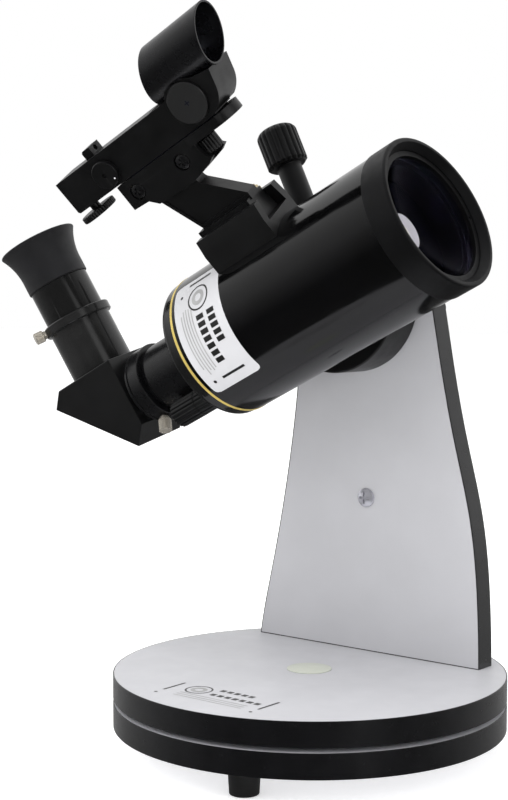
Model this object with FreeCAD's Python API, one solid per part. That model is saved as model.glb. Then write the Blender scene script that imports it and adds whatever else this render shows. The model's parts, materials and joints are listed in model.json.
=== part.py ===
"""Tabletop telescope: a 60 mm Maksutov tube on a single-arm rocker mount.

Row frame: millimetres, +Z up, origin on the azimuth axis at the level of the feet.
+X is the way the tube points (seen from above) and the arm stands on the +Y side.

Four local frames place the pieces:
  tube frame      x along the tube towards the sky (s), y level (+Y), z square to both (h)
  diagonal frame  the tube frame rolled about the tube, x = s, y = w, z = towards the eyepiece
  finder frame    the tube frame rolled about the tube, x = s, y = w, z = rho, out from the tube
  altitude frame  x and z level and up, on the altitude axis
"""
import FreeCAD
import Part
import math
import os

V = FreeCAD.Vector

# ---------------------------------------------------------------- driving dimensions
# Rocker base
BOARD_R = 100.0
BOARD_T = 12.35
BOARD_GAP = 2.25
BAND_T = 0.6
FOOT_H = 14.5
FOOT_CIRCLE_R = 80.0
FOOT_ANGLES = (-75.0, 45.0, 165.0)
PAD_CIRCLE_R = 60.0
PAD_ANGLES = (-15.0, 105.0, 225.0)
AZIMUTH_BOLT_R = 4.0

# Side arm
ARM_INNER_Y = 51.9
ARM_T = BOARD_T
ARM_LEFT = ((-74.0, 0.0), (-65.6, 39.2), (-55.0, 90.7), (-48.8, 132.6), (-45.8, 190.0))
ARM_RIGHT = ((69.0, 0.0), (68.3, 27.0), (62.8, 78.0), (53.8, 114.2), (41.0, 175.2))
ARM_HEAD_X = -4.1
ARM_HEAD_Z = 190.0
ARM_HEAD_R = 41.7

# Tube
TUBE_AXIS_Z = 192.88
TUBE_ALTITUDE = 26.05
TUBE_R = 39.0
TUBE_WALL = 2.0
TUBE_REAR_S = -60.8
TUBE_FRONT_S = 70.8
FRONT_RING_S = 85.2
TRIM_T = 1.5
CELL_REAR_S = -70.5
HUB_S = -9.14
HUB_R = 39.2
HUB_INNER_Y = 29.3
WASHER_T = 1.0
ALTITUDE_BOLT_R = 5.0
CLAMP_S = -12.0
CLAMP_Y = 41.0
CLAMP_HEAD_R = 11.2

# Focuser and visual back
FOCUS_RADIUS = 28.5
FOCUS_ANGLE = -153.0
BACK_END_S = -106.4
FLANGE_FRONT_S = -109.1
FLANGE_REAR_S = -119.7
BACK_SCREW_S = -111.5
BACK_SCREW_ANGLE = -160.0
BARREL_R = 15.85
SOCKET_R = 15.9

# Star diagonal and eyepiece
DIAGONAL_ROLL = 12.3
EYEPIECE_S = -145.7
DIAGONAL_HALF_W = 19.5
HOLDER_R = 17.63
HOLDER_TOP = 51.5
COLLAR_TOP = 56.6
EYE_BODY_TOP = 77.1
EYECUP_TOP = 103.0
HOLDER_SCREW_T = 54.1

# Red-dot finder
FINDER_ROLL = 32.0
SHOE_S = (-26.0, 15.3)
SHOE_HALF_W = 16.0
SHOE_TOP = 54.5
CHANNEL_FLOOR = 43.5
BLOCK_HALF_W = 9.5
PLATE_HALF_W = 10.5
PLATE_END_S = 24.0
BLOCK_TOP = 99.2
BAR_BOTTOM = 99.7
BAR_TOP = 118.6
BAR_S = (-74.5, 27.5)
PIVOT_S = 20.7
PIVOT_RHO = 112.0
SWING_STUD_R = 3.0
DIAL_S = -44.4
DIAL_RHO = 108.0
WHEEL_S = -70.3
AZIMUTH_KNOB_S = 8.5
HOOD_RHO = 131.0
HOOD_R = 13.9
HOOD_WALL = 1.0

RUNNING = 0.05
Z_GROUND = FOOT_H
Z_GAP = Z_GROUND + BOARD_T
Z_TURN = Z_GAP + BOARD_GAP
Z_TOP = Z_TURN + BOARD_T
TUBE_Z = Z_TOP + TUBE_AXIS_Z

# ---------------------------------------------------------------- frames and helpers
_tilt = FreeCAD.Rotation(V(0, 1, 0), -TUBE_ALTITUDE)
TUBE = FreeCAD.Placement(V(0, 0, TUBE_Z), _tilt)
DIAGONAL = TUBE.multiply(FreeCAD.Placement(V(EYEPIECE_S, 0, 0), FreeCAD.Rotation(V(1, 0, 0), DIAGONAL_ROLL)))
FINDER = TUBE.multiply(FreeCAD.Placement(V(0, 0, 0), FreeCAD.Rotation(V(1, 0, 0), FINDER_ROLL)))
HUB_POINT = TUBE.multVec(V(HUB_S, 0, 0))
ALTITUDE = FreeCAD.Placement(V(HUB_POINT.x, 0, HUB_POINT.z), FreeCAD.Rotation())


def place(shape, frame):
    """The shape moved from a local frame into the row frame."""
    moved = shape.copy()
    moved.Placement = frame.multiply(shape.Placement)
    return moved


def cylinder(radius, base, axis, length):
    """A solid cylinder from base along axis."""
    return Part.makeCylinder(radius, length, V(*base), V(*axis))


def ring(outer, inner, base, axis, length):
    """A plain sleeve."""
    return cylinder(outer, base, axis, length).cut(cylinder(inner, base, axis, length))


def box(low, high):
    """An axis-aligned block between two corners."""
    size = [b - a for a, b in zip(low, high)]
    return Part.makeBox(size[0], size[1], size[2], V(*low))


def wire(steps, to_3d):
    """A closed wire. A step is a point, or a pair (middle, end) for an arc from the last point."""
    edges = []
    start = steps[0]
    here = start
    for step in steps[1:] + [start]:
        if isinstance(step[0], tuple):
            middle, end = step
            edges.append(Part.Arc(to_3d(here), to_3d(middle), to_3d(end)).toShape())
            here = end
        elif math.dist(here, step) > 1e-6:
            edges.append(Part.makeLine(to_3d(here), to_3d(step)))
            here = step
    return Part.Wire(edges)


def lathe(steps, axis):
    """A solid turned about an axis through the local origin from (along, radius) steps."""
    if axis == "x":
        to_3d = lambda p: V(p[0], 0, p[1])
        direction = V(1, 0, 0)
    elif axis == "y":
        to_3d = lambda p: V(p[1], p[0], 0)
        direction = V(0, 1, 0)
    else:
        to_3d = lambda p: V(p[1], 0, p[0])
        direction = V(0, 0, 1)
    return Part.Face(wire(steps, to_3d)).revolve(V(0, 0, 0), direction, 360)


def crown(edge, centre, outward=False):
    """Arc step of a dome on the axis: from its edge to its centre, or back out to the edge."""
    along, radius = edge
    rise = along - centre
    sphere_r = (radius ** 2 + rise ** 2) / (2 * abs(rise))
    sag = sphere_r - math.sqrt(sphere_r ** 2 - radius ** 2 / 4)
    middle = (centre + math.copysign(sag, rise), radius / 2)
    return (middle, edge if outward else (centre, 0))


def prism_y(steps, y_low, y_high):
    """A plate with an (x, z) outline, from y_low to y_high."""
    face = Part.Face(wire(steps, lambda p: V(p[0], y_low, p[1])))
    return face.extrude(V(0, y_high - y_low, 0))


def prism_x(steps, x_low, x_high):
    """A bar with a (y, z) outline, from x_low to x_high."""
    face = Part.Face(wire(steps, lambda p: V(x_low, p[0], p[1])))
    return face.extrude(V(x_high - x_low, 0, 0))


def prism_z(steps, z_low, z_high):
    """A plate with an (x, y) outline, from z_low to z_high."""
    face = Part.Face(wire(steps, lambda p: V(p[0], p[1], z_low)))
    return face.extrude(V(0, 0, z_high - z_low))


def hexagon(across_flats, base, axis, length):
    """A hexagonal bolt head or nut."""
    radius = across_flats / math.sqrt(3)
    points = [(radius * math.cos(math.radians(60 * i)), radius * math.sin(math.radians(60 * i)))
              for i in range(6)]
    turn = FreeCAD.Rotation(V(0, 0, 1), V(*axis))
    return place(prism_z(points, 0, length), FreeCAD.Placement(V(*base), turn))


def pan_screw(head_r, head_h, shank_r, shank_l, slot=0.9):
    """A pan-head cross-slot screw: head above z = 0, shank below."""
    rim = (head_h * 0.4, head_r)
    head = lathe([(0, 0), (0, head_r), rim, crown(rim, head_h)], "z")
    depth = head_h * 0.5
    for angle in (0, 90):
        blade = box((-head_r * 0.62, -slot / 2, head_h - depth), (head_r * 0.62, slot / 2, head_h + 1))
        blade.rotate(V(0, 0, 0), V(0, 0, 1), angle)
        head = head.cut(blade)
    return head.fuse(cylinder(shank_r, (0, 0, -shank_l), (0, 0, 1), shank_l)).removeSplitter()


def aim(shape, base, axis):
    """A shape built about the local z axis, turned so z points along axis, and moved to base."""
    return place(shape, FreeCAD.Placement(V(*base), FreeCAD.Rotation(V(0, 0, 1), V(*axis))))


def polar(radius, angle):
    """A point on a circle in the level plane, angle in degrees."""
    turn = math.radians(angle)
    return radius * math.cos(turn), radius * math.sin(turn)


def grooved(shape, axis, radius, count, groove_r, low, high, mid=(0.0, 0.0)):
    """Straight grip grooves cut round a knob, parallel to its axis."""
    for i in range(count):
        p, q = polar(radius, 360.0 * i / count)
        p += mid[0]
        q += mid[1]
        base = {"x": (low, p, q), "y": (p, low, q), "z": (p, q, low)}[axis]
        way = {"x": (1, 0, 0), "y": (0, 1, 0), "z": (0, 0, 1)}[axis]
        shape = shape.cut(cylinder(groove_r, base, way, high - low))
    return shape


def on_tube(angle, radius):
    """The (y, h) point at an angle from the tube's top towards +Y."""
    turn = math.radians(angle)
    return radius * math.sin(turn), radius * math.cos(turn)


# ---------------------------------------------------------------- ground plate
def azimuth_bolt():
    """M8 bolt up through both boards; its head is let into the lower board."""
    seat = Z_GROUND + 6.2
    head = hexagon(13.0, (0, 0, seat - 5.3), (0, 0, 1), 5.3)
    shank = cylinder(AZIMUTH_BOLT_R, (0, 0, seat), (0, 0, 1), Z_TOP - 0.6 - seat)
    return head.fuse(shank)


def azimuth_nut():
    """Lock nut and washer in the upper board's pocket."""
    floor = Z_TOP - 7.0
    washer = ring(8.0, AZIMUTH_BOLT_R, (0, 0, floor), (0, 0, 1), 1.2)
    nut = hexagon(13.0, (0, 0, floor + 1.2), (0, 0, 1), 4.8)
    return washer.fuse(nut.cut(cylinder(AZIMUTH_BOLT_R, (0, 0, floor), (0, 0, 1), 8)))


def foot_screw():
    """One foot screw, head down."""
    return aim(pan_screw(4.0, 2.4, 2.0, 17.0), (0, 0, 6.0), (0, 0, -1))


def foot():
    """Round tapered foot with a stepped hole for its screw."""
    body = lathe([(0, 0), (0, 6.6), ((0.15, 7.05), (0.6, 7.2)), (FOOT_H, 8.0), (FOOT_H, 0)], "z")
    return body.cut(cylinder(4.4, (0, 0, -1), (0, 0, 1), 7.0)).cut(cylinder(2.0, (0, 0, 0), (0, 0, 1), 20))


def at_feet(shape):
    """One copy of a shape at each foot."""
    copies = []
    for angle in FOOT_ANGLES:
        x, y = polar(FOOT_CIRCLE_R, angle)
        copies.append(place(shape, FreeCAD.Placement(V(x, y, 0), FreeCAD.Rotation())))
    return Part.makeCompound(copies)


def board(z_low):
    """A round board without its edge band."""
    return cylinder(BOARD_R - BAND_T, (0, 0, z_low), (0, 0, 1), BOARD_T)


def edge_band(z_low):
    """The band glued round a board."""
    return ring(BOARD_R, BOARD_R - BAND_T, (0, 0, z_low), (0, 0, 1), BOARD_T)


def ground_board():
    """Lower board: bolt hole, head pocket and pilot holes for the foot screws."""
    body = board(Z_GROUND).cut(cylinder(9.0, (0, 0, Z_GROUND - 1), (0, 0, 1), 7.2))
    body = body.cut(cylinder(AZIMUTH_BOLT_R, (0, 0, 0), (0, 0, 1), 40))
    return body.cut(at_feet(foot_screw()))


def azimuth_pads():
    """Three slippery pads that carry the upper board."""
    pads = []
    for angle in PAD_ANGLES:
        x, y = polar(PAD_CIRCLE_R, angle)
        pads.append(cylinder(8.0, (x, y, Z_GAP), (0, 0, 1), BOARD_GAP))
    return Part.makeCompound(pads)


# ---------------------------------------------------------------- turntable and arm
ARM_SCREW_X = (-50.0, 0.0, 50.0)
ARM_MID_Y = ARM_INNER_Y + ARM_T / 2
FACE_SCREW_X = -1.5
FACE_SCREW_Z = 82.6


def arm_base_screws():
    """Three long board screws, up through the turntable into the foot of the arm."""
    screws = []
    for x in ARM_SCREW_X:
        low = Z_TURN + 0.3
        steps = [(low, 0), (low, 5.0), (low + 3.0, 3.0), (Z_TOP + 42.0, 3.0), (Z_TOP + 45.0, 0)]
        screws.append(place(lathe(steps, "z"), FreeCAD.Placement(V(x, ARM_MID_Y, 0), FreeCAD.Rotation())))
    return Part.makeCompound(screws)


def turntable_board():
    """Upper board: bush hole, nut pocket and holes for the arm's screws."""
    body = board(Z_TURN).cut(cylinder(6.0, (0, 0, Z_TURN - 1), (0, 0, 1), 20))
    body = body.cut(cylinder(10.0, (0, 0, Z_TOP - 7.0), (0, 0, 1), 8))
    for x in ARM_SCREW_X:
        body = body.cut(cylinder(5.0, (x, ARM_MID_Y, Z_TURN - 1), (0, 0, 1), 1.3))
    return body.cut(arm_base_screws())


def pivot_bush():
    """Nylon bush that the azimuth bolt turns in."""
    return ring(6.0, AZIMUTH_BOLT_R + RUNNING, (0, 0, Z_TURN), (0, 0, 1), BOARD_T - 7.0)


def pivot_cap():
    """Domed cap over the nut pocket."""
    rim = (Z_TOP + 0.35, 11.4)
    dome = lathe([(Z_TOP, 0), (Z_TOP, 11.4), rim, crown(rim, Z_TOP + 1.1)], "z")
    skirt = ring(10.0, 9.0, (0, 0, Z_TOP - 2.5), (0, 0, 1), 2.5)
    return dome.fuse(skirt)


def arm_plate(inset):
    """The arm's outline, drawn in by inset on its banded edges, as a plate."""
    y = ARM_INNER_Y
    left = [V(x + inset, y, Z_TOP + z) for x, z in ARM_LEFT]
    right = [V(x - inset, y, Z_TOP + z) for x, z in ARM_RIGHT]
    radius = ARM_HEAD_R - inset
    lean = math.radians(10.4)
    centre = V(ARM_HEAD_X, y, Z_TOP + ARM_HEAD_Z)
    touch = centre + V(radius * math.cos(lean), 0, radius * math.sin(lean))
    left_curve = Part.BSplineCurve()
    left_curve.interpolate(left, FinalTangent=V(0, 0, 1), InitialTangent=V(0.15, 0, 1))
    right_curve = Part.BSplineCurve()
    end_tangent = V(-math.sin(lean), 0, math.cos(lean))
    right_curve.interpolate(right, InitialTangent=V(0, 0, 1), FinalTangent=end_tangent)
    head = Part.Arc(left[-1], centre + V(0, 0, radius), touch).toShape()
    edges = [left_curve.toShape(), head, Part.makeLine(touch, right[-1]), right_curve.toShape(),
             Part.makeLine(right[0], left[0])]
    return Part.Face(Part.Wire(Part.sortEdges(edges)[0])).extrude(V(0, ARM_T, 0))


def face_screw():
    """Cross-slot screw in the arm's inner face."""
    seat = (FACE_SCREW_X, ARM_INNER_Y, Z_TOP + FACE_SCREW_Z)
    return aim(pan_screw(5.0, 2.6, 2.5, 9.0, 1.3), seat, (0, -1, 0))


def arm_board():
    """The arm with its bush hole and screw holes."""
    body = arm_plate(BAND_T)
    body = body.cut(place(cylinder(9.0, (0, ARM_INNER_Y - 1, 0), (0, 1, 0), ARM_T + 2), ALTITUDE))
    return body.cut(arm_base_screws()).cut(face_screw())


def arm_edge_band():
    """The band glued round the arm's curved edge."""
    return arm_plate(0).cut(arm_plate(BAND_T))


def altitude_bush():
    """Nylon bush in the arm that the altitude bolt turns in."""
    return place(ring(9.0, ALTITUDE_BOLT_R + RUNNING, (0, ARM_INNER_Y, 0), (0, 1, 0), ARM_T), ALTITUDE)


def tension_washer():
    """Washer between the arm and the tension knob."""
    return place(ring(15.0, ALTITUDE_BOLT_R + 0.4, (0, ARM_INNER_Y + ARM_T, 0), (0, 1, 0), 1.5), ALTITUDE)


# ---------------------------------------------------------------- altitude hub and knobs
HUB_OUTER_Y = ARM_INNER_Y - WASHER_T
BOLT_HEAD_Y = 43.4
BOLT_HEAD_T = 5.0
BOLT_END_Y = 84.0
BAR_HALF_H = 14.0
BAR_OUTER_Y = 43.2


def tube_solid(extra=0.0):
    """The tube's outside as a solid, for cutting pieces that sit on it."""
    return cylinder(TUBE_R + extra, (-100, 0, 0), (1, 0, 0), 200)


def dovetail_prism(play):
    """The dovetail bar's section, grown by play, before it is fitted to the tube."""
    low = 30.0
    outer_y = BAR_OUTER_Y + play
    steps = [(low, -9.5 - play), (outer_y, -BAR_HALF_H - play),
             (outer_y, BAR_HALF_H + play), (low, 9.5 + play)]
    return prism_x(steps, -44.0 - play, 26.0 + play)


def dovetail_bar():
    """Short dovetail bar fixed along the side of the tube."""
    return place(dovetail_prism(0.0).cut(tube_solid()), TUBE)


def altitude_bolt():
    """M10 bolt: hexagon head held in the hub, shank out through the arm to the knob."""
    head = hexagon(16.0, (0, BOLT_HEAD_Y, 0), (0, 1, 0), BOLT_HEAD_T)
    start = BOLT_HEAD_Y + BOLT_HEAD_T
    shank = cylinder(ALTITUDE_BOLT_R, (0, start, 0), (0, 1, 0), BOLT_END_Y - start)
    return place(head.fuse(shank), ALTITUDE)


def altitude_hub():
    """Round saddle hub: hollowed to the tube, with the bar's channel and the clamp screw's hole."""
    rim = 1.2
    steps = [(HUB_INNER_Y, 0), (HUB_INNER_Y, HUB_R - rim),
             ((HUB_INNER_Y + 0.35, HUB_R - 0.35), (HUB_INNER_Y + rim, HUB_R)),
             (HUB_OUTER_Y, HUB_R), (HUB_OUTER_Y, 0)]
    body = place(lathe(steps, "y"), ALTITUDE)
    body = body.cut(place(tube_solid(0.1).fuse(dovetail_prism(0.1)), TUBE))
    body = body.cut(place(hexagon(16.2, (0, BOLT_HEAD_Y - 3, 0), (0, 1, 0), BOLT_HEAD_T + 3.0), ALTITUDE))
    body = body.cut(place(cylinder(ALTITUDE_BOLT_R, (0, 40, 0), (0, 1, 0), 20), ALTITUDE))
    screw_hole = cylinder(3.0 + RUNNING, (CLAMP_S, CLAMP_Y, BAR_HALF_H), (0, 0, 1), 40)
    return body.cut(place(screw_hole, TUBE))


def friction_washer():
    """Fibre washer between the hub and the arm."""
    return place(ring(34.0, 12.0, (0, HUB_OUTER_Y, 0), (0, 1, 0), WASHER_T), ALTITUDE)


def tension_knob():
    """Large knob on the altitude bolt, outside the arm."""
    y = ARM_INNER_Y + ARM_T + 1.8
    bore = ALTITUDE_BOLT_R + RUNNING
    steps = [(y, bore), (y, 13.0), (y + 5.0, 13.0), ((y + 7.0, 27.0), (y + 11.0, 33.0)),
             (y + 13.0, 34.0), (y + 22.0, 34.0), ((y + 24.2, 33.2), (y + 25.0, 31.0)), (y + 25.0, 0),
             (BOLT_END_Y + 0.6, 0), (BOLT_END_Y + 0.6, bore)]
    body = lathe(steps, "y")
    return place(grooved(body, "y", 38.0, 10, 6.5, y + 2, y + 26), ALTITUDE)


def clamp_knob():
    """Clamp screw with a long neck and a ribbed head."""
    tip = BAR_HALF_H + 0.4
    steps = [(tip, 0), (tip, 3.0), (40.2, 3.0), (40.2, 6.7), (79.5, 6.7), (79.5, 9.4), (81.0, CLAMP_HEAD_R),
             (98.0, CLAMP_HEAD_R), ((100.6, CLAMP_HEAD_R - 1.2), (101.6, 6.4)), (102.0, 0)]
    body = lathe(steps, "z")
    body = grooved(body, "z", CLAMP_HEAD_R + 0.5, 20, 0.9, 79.0, 98.5)
    return place(place(body, FreeCAD.Placement(V(CLAMP_S, CLAMP_Y, 0), FreeCAD.Rotation())), TUBE)


# ---------------------------------------------------------------- optical tube
INNER_R = TUBE_R - TUBE_WALL
CELL_INNER_S = -64.5
LENS_SEAT_S = 73.0
LENS_REAR_S = 62.0
LENS_T = 4.7


def main_tube():
    """Thin-walled tube."""
    return place(ring(TUBE_R, INNER_R, (TUBE_REAR_S, 0, 0), (1, 0, 0), TUBE_FRONT_S - TUBE_REAR_S), TUBE)


def front_ring():
    """Front cell: spigot inside the tube, rounded rim and stepped seat for the corrector."""
    steps = [(60.0, 31.2), (60.0, INNER_R), (TUBE_FRONT_S, INNER_R), (TUBE_FRONT_S, 39.5),
             (FRONT_RING_S - 1.2, 39.5), ((FRONT_RING_S - 0.35, 39.15), (FRONT_RING_S, 38.3)),
             (FRONT_RING_S, 37.2), (81.2, 34.6), (LENS_SEAT_S, 34.6), (LENS_SEAT_S, 31.2)]
    return place(lathe(steps, "x"), TUBE)


def corrector_lens():
    """Deeply curved meniscus corrector with flat edges for its seat and retaining ring."""
    rear_edge = (LENS_SEAT_S, 31.0)
    front_edge = (78.2, 31.8)
    front_centre = LENS_REAR_S + LENS_T
    steps = [(LENS_SEAT_S, 34.4), rear_edge, crown(rear_edge, LENS_REAR_S), (front_centre, 0),
             crown(front_edge, front_centre, True), (78.2, 34.4)]
    return place(lathe(steps, "x"), TUBE)


def retaining_ring():
    """Threaded ring in front of the corrector, with two holes for a pin spanner."""
    body = ring(34.55, 31.8, (78.3, 0, 0), (1, 0, 0), 2.4)
    for y in (-33.2, 33.2):
        body = body.cut(cylinder(0.8, (79.2, y, 0), (1, 0, 0), 3))
    return place(body, TUBE)


def trim_ring():
    """Gold-coloured ring between the tube and the rear cell."""
    return place(ring(39.15, INNER_R, (TUBE_REAR_S - TRIM_T, 0, 0), (1, 0, 0), TRIM_T), TUBE)


def focus_axis_point():
    """The (y, h) point of the focus shaft's axis."""
    return on_tube(FOCUS_ANGLE, FOCUS_RADIUS)


def rear_cell():
    """Rear cell: spigot inside the tube, rounded rim, holes for the baffle and focus shaft."""
    step_s = TUBE_REAR_S - TRIM_T
    steps = [(-54.0, 34.5), (-54.0, INNER_R), (step_s, INNER_R), (step_s, 38.7), (-66.5, 38.5),
             ((-69.6, 37.4), (CELL_REAR_S, 35.0)), (CELL_REAR_S, 14.2), (CELL_INNER_S, 14.2),
             (CELL_INNER_S, 34.5)]
    y, h = focus_axis_point()
    return place(lathe(steps, "x").cut(cylinder(2.0 + RUNNING, (-75, y, h), (1, 0, 0), 20)), TUBE)


def baffle_tube():
    """Baffle tube up the middle of the tube, flanged to the inside of the rear cell."""
    steps = [(CELL_INNER_S, 14.0), (CELL_INNER_S, 17.0), (-62.5, 17.0), (-62.5, 10.0), (5.0, 10.0),
             (5.0, 9.0),
             (-60.0, 9.0), (-62.0, 14.0)]
    return place(lathe(steps, "x"), TUBE)


def mirror_carrier():
    """Carrier that slides on the baffle tube, with the blind nut for the focus shaft."""
    y, h = focus_axis_point()
    plate = cylinder(34.0, (-50.0, 0, 0), (1, 0, 0), 4.0)
    sleeve = cylinder(12.0, (-50.0, 0, 0), (1, 0, 0), 24.0)
    boss = cylinder(4.5, (-58.0, y, h), (1, 0, 0), 12.0)
    body = plate.fuse(sleeve).fuse(boss).cut(cylinder(10.0 + RUNNING, (-60, 0, 0), (1, 0, 0), 60))
    return place(body.cut(cylinder(2.0 + RUNNING, (-58.5, y, h), (1, 0, 0), 11.5)), TUBE)


def primary_mirror():
    """Perforated concave primary mirror."""
    steps = [(-46.0, 12.0), (-46.0, 32.0), (-40.0, 32.0), ((-42.2, 22.0), (-43.4, 12.0))]
    return place(lathe(steps, "x"), TUBE)


# ---------------------------------------------------------------- focuser and visual back
def focus_knob():
    """Ribbed focus knob in two steps, standing just clear of the rear cell."""
    y, h = focus_axis_point()
    steps = [(-98.0, 0), (-98.0, 6.4), (-97.2, 7.3), (-80.6, 7.3), (-80.6, 6.8), (-79.6, 6.8), (-79.6, 7.5),
             (-71.5, 7.5), (-70.9, 6.9), (-70.9, 2.0), (-94.0, 2.0), (-94.0, 0)]
    body = grooved(lathe(steps, "x"), "x", 7.7, 18, 0.6, -97.5, -70.5)
    return place(place(body, FreeCAD.Placement(V(0, y, h), FreeCAD.Rotation())), TUBE)


def focus_shaft():
    """Threaded shaft from the knob into the mirror carrier."""
    y, h = focus_axis_point()
    return place(cylinder(2.0, (-94.0, y, h), (1, 0, 0), 43.0), TUBE)


def visual_back():
    """Stepped sleeve screwed to the rear cell."""
    steps = [(CELL_REAR_S, SOCKET_R - 1.9), (CELL_REAR_S, 19.1), (BACK_END_S + 0.5, 19.1), (BACK_END_S, 18.6),
             (BACK_END_S, 17.6), (FLANGE_FRONT_S, 17.6), (FLANGE_FRONT_S, SOCKET_R), (-99.0, SOCKET_R),
             (-99.0, SOCKET_R - 1.9)]
    return place(lathe(steps, "x"), TUBE)


def visual_back_ring():
    """Eyepiece-size socket ring with a groove and a cross hole for its thumbscrew."""
    steps = [(FLANGE_FRONT_S, SOCKET_R), (FLANGE_FRONT_S, 20.9), (FLANGE_FRONT_S - 0.4, 21.3), (-117.0, 21.3),
             (-117.0, 20.7), (-117.9, 20.7), (-117.9, 21.3), (FLANGE_REAR_S + 0.4, 21.3),
             (FLANGE_REAR_S, 20.9),
             (FLANGE_REAR_S, SOCKET_R)]
    y, h = on_tube(BACK_SCREW_ANGLE, 1.0)
    hole = cylinder(1.5 + RUNNING, (BACK_SCREW_S - 1.5, 0, 0), (0, y, h), 40)
    return place(lathe(steps, "x").cut(hole), TUBE)


def thumbscrew(shaft_r, tip, wall, head_r, head_l, neck=0.7):
    """A knurled thumbscrew along z: tip and wall are distances from the axis it points at."""
    start = wall + neck
    end = start + head_l
    steps = [(tip, 0), (tip, shaft_r), (start, shaft_r), (start, head_r * 0.7),
             (start + 1.4, head_r * 0.7), (start + 1.4, head_r - 0.3), (start + 1.8, head_r),
             (end - 0.4, head_r), (end, head_r - 0.4), (end, 0)]
    return grooved(lathe(steps, "z"), "z", head_r + 0.15, 20, 0.4, start + 1.4, end)


def visual_back_screw():
    """Thumbscrew that holds the star diagonal in the visual back."""
    y, h = on_tube(BACK_SCREW_ANGLE, 1.0)
    screw = thumbscrew(1.5, BARREL_R + 0.35, 21.3, 3.5, 8.5)
    return place(aim(screw, (BACK_SCREW_S - 1.5, 0, 0), (0, y, h)), TUBE)


# ---------------------------------------------------------------- star diagonal
DIAGONAL_OUTLINE = [(22.3, 23.2), (22.3, -16.5), (13.2, -25.9), (-28.5, 15.0), (-20.3, 23.2)]
MIRROR_T = 3.0


def diagonal_pocket():
    """The folded light path and the mirror's seat."""
    path_in = cylinder(13.5, (0, 0, 0), (1, 0, 0), 30)
    path_out = cylinder(13.5, (0, 0, 0), (0, 0, 1), 30)
    behind = box((-60, -30, -60), (60, 30, 0))
    behind.rotate(V(0, 0, 0), V(0, 1, 0), 45)
    elbow = path_in.fuse(path_out).fuse(Part.makeSphere(13.5)).cut(behind)
    return elbow.fuse(mirror_plate())


def mirror_plate():
    """Flat mirror lying behind the 45 degree plane through the two axes."""
    plate = box((-22.0, -15.0, -MIRROR_T), (22.0, 15.0, 0))
    plate.rotate(V(0, 0, 0), V(0, 1, 0), 45)
    return plate


def diagonal_housing():
    """Right-angle body with a 45 degree back and two short cut corners."""
    body = prism_y(DIAGONAL_OUTLINE, -DIAGONAL_HALF_W, DIAGONAL_HALF_W)
    edges = [e for e in body.Edges if abs(e.Vertexes[0].Y - e.Vertexes[-1].Y) < 1e-6]
    body = body.makeFillet(0.8, edges)
    body = body.cut(diagonal_pocket())
    return place(body, DIAGONAL)


def diagonal_mirror():
    """The flat mirror."""
    return place(mirror_plate(), DIAGONAL)


def diagonal_nose():
    """Chromed nosepiece that plugs into the visual back."""
    front = DIAGONAL_OUTLINE[0][0]
    ring_front = FLANGE_REAR_S - EYEPIECE_S - 0.4
    steps = [(front, 13.5), (front, 17.2), (ring_front, 17.2), (ring_front, BARREL_R), (45.2, BARREL_R),
             (45.7, BARREL_R - 0.5), (45.7, 13.5)]
    return place(lathe(steps, "x"), DIAGONAL)


def eyepiece_holder():
    """Eyepiece tube with its collar, on top of the housing."""
    steps = [(23.2, 13.5), (23.2, HOLDER_R), (HOLDER_TOP, HOLDER_R), (HOLDER_TOP, 19.2),
             (HOLDER_TOP + 0.5, 19.7), (COLLAR_TOP - 0.5, 19.7), (COLLAR_TOP, 19.2), (COLLAR_TOP, SOCKET_R),
             (27.0, SOCKET_R), (27.0, 13.5)]
    hole = cylinder(1.5 + RUNNING, (0, 0, HOLDER_SCREW_T), (-0.6, -0.8, 0), 30)
    return place(lathe(steps, "z").cut(hole), DIAGONAL)


def holder_screw():
    """Thumbscrew that holds the eyepiece."""
    screw = thumbscrew(1.5, BARREL_R + 0.35, 19.7, 3.3, 6.5, 0.3)
    return place(aim(screw, (0, 0, HOLDER_SCREW_T), (-0.6, -0.8, 0)), DIAGONAL)


# ---------------------------------------------------------------- eyepiece
def eyepiece_barrel():
    """Chromed barrel in the holder, with an undercut for the thumbscrew."""
    steps = [(29.0, 14.0), (29.0, BARREL_R - 0.4), (29.4, BARREL_R), (COLLAR_TOP + 0.2, BARREL_R),
             (COLLAR_TOP + 0.2, 14.0)]
    return place(lathe(steps, "z"), DIAGONAL)


def eyepiece_body():
    """Glossy body above the barrel."""
    low = COLLAR_TOP + 0.2
    steps = [(low, 11.0), (low, 16.4), (low + 0.4, 16.8), (EYE_BODY_TOP - 0.3, 16.8), (EYE_BODY_TOP, 16.5),
             (EYE_BODY_TOP, 14.0), (85.0, 14.0), (85.0, 11.0)]
    return place(lathe(steps, "z"), DIAGONAL)


def field_lens():
    """Lower lens of the eyepiece."""
    steps = [(50.0, 0), crown((53.0, 13.9), 50.0, True), (54.5, 13.9), (54.5, 0)]
    return place(lathe(steps, "z"), DIAGONAL)


def eye_lens():
    """Upper lens of the eyepiece."""
    rim = (81.0, 10.9)
    steps = [(79.5, 0), (79.5, 10.9), rim, crown(rim, 83.6)]
    return place(lathe(steps, "z"), DIAGONAL)


def eyecup():
    """Flared rubber eyecup."""
    steps = [(EYE_BODY_TOP, 14.0), (EYE_BODY_TOP, 17.2), (EYE_BODY_TOP + 0.4, 17.6), (84.0, 17.6),
             ((93.5, 18.6), (EYECUP_TOP - 1.0, 22.0)), ((EYECUP_TOP, 21.9), (EYECUP_TOP - 0.3, 20.9)),
             ((94.0, 17.0), (87.5, 14.6)), (86.4, 11.8), (85.0, 11.8), (85.0, 14.0)]
    return place(lathe(steps, "z"), DIAGONAL)


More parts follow.
